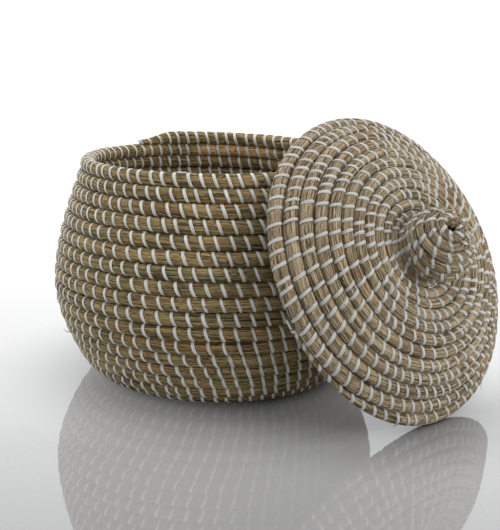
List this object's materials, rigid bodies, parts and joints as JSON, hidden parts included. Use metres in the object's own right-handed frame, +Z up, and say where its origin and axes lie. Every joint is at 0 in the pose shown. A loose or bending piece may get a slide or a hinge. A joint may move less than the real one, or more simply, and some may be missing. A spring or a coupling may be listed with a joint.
{
  "type": "lidded storage basket",
  "caption": "Round belly-shaped lidded basket coiled from seagrass and stitched with white strip, its domed lid with a ball knob leaning beside it.",
  "frame": {"origin": "on the floor under the middle of the basket's base", "axes": "+Z up along the basket's axis; -Y towards the viewer; the lid leans on the +X -Y side"},
  "size_m": [0.3533, 0.3023, 0.2108],
  "materials": {
    "basket_seagrass": "dry twisted plant fibre, olive brown",
    "lid_seagrass": "dry twisted plant fibre, pale straw",
    "plastic_strip": "flat off-white strip, satin"
  },
  "bodies": {
    "basket": {"base_binding": "plastic_strip", "base_coil_01": "basket_seagrass", "base_coil_02": "basket_seagrass", "base_coil_03": "basket_seagrass", "base_coil_04": "basket_seagrass", "base_coil_05": "basket_seagrass", "base_coil_06": "basket_seagrass", "base_coil_07": "basket_seagrass", "base_coil_08": "basket_seagrass", "base_coil_start": "basket_seagrass", "wall_binding": "plastic_strip", "wall_coil_01": "basket_seagrass", "wall_coil_02": "basket_seagrass", "wall_coil_03": "basket_seagrass", "wall_coil_04": "basket_seagrass", "wall_coil_05": "basket_seagrass", "wall_coil_06": "basket_seagrass", "wall_coil_07": "basket_seagrass", "wall_coil_08": "basket_seagrass", "wall_coil_09": "basket_seagrass", "wall_coil_10": "basket_seagrass", "wall_coil_11": "basket_seagrass", "wall_coil_12": "basket_seagrass", "wall_coil_13": "basket_seagrass", "wall_coil_14": "basket_seagrass", "wall_coil_15": "basket_seagrass", "wall_coil_16": "basket_seagrass", "wall_coil_17": "basket_seagrass"},
    "lid": {"knob_binding": "plastic_strip", "knob_coil_01": "lid_seagrass", "knob_coil_02": "lid_seagrass", "knob_coil_03": "lid_seagrass", "knob_coil_04": "lid_seagrass", "knob_coil_05": "lid_seagrass", "knob_coil_06": "lid_seagrass", "knob_coil_07": "lid_seagrass", "knob_coil_start": "lid_seagrass", "lid_binding": "plastic_strip", "lid_coil_01": "lid_seagrass", "lid_coil_02": "lid_seagrass", "lid_coil_03": "lid_seagrass", "lid_coil_04": "lid_seagrass", "lid_coil_05": "lid_seagrass", "lid_coil_06": "lid_seagrass", "lid_coil_07": "lid_seagrass", "lid_coil_08": "lid_seagrass", "lid_coil_09": "lid_seagrass", "lid_coil_10": "lid_seagrass", "lid_coil_11": "lid_seagrass"}
  },
  "joints": [
    {"name": "lid_swing", "type": "hinge", "parent": "basket", "child": "lid", "pos_m": [0.01862, 0.01728, 0.00734], "axis": [0.1565, -0.5242, 0.8371], "range_deg": [0, 139.73]}
  ]
}
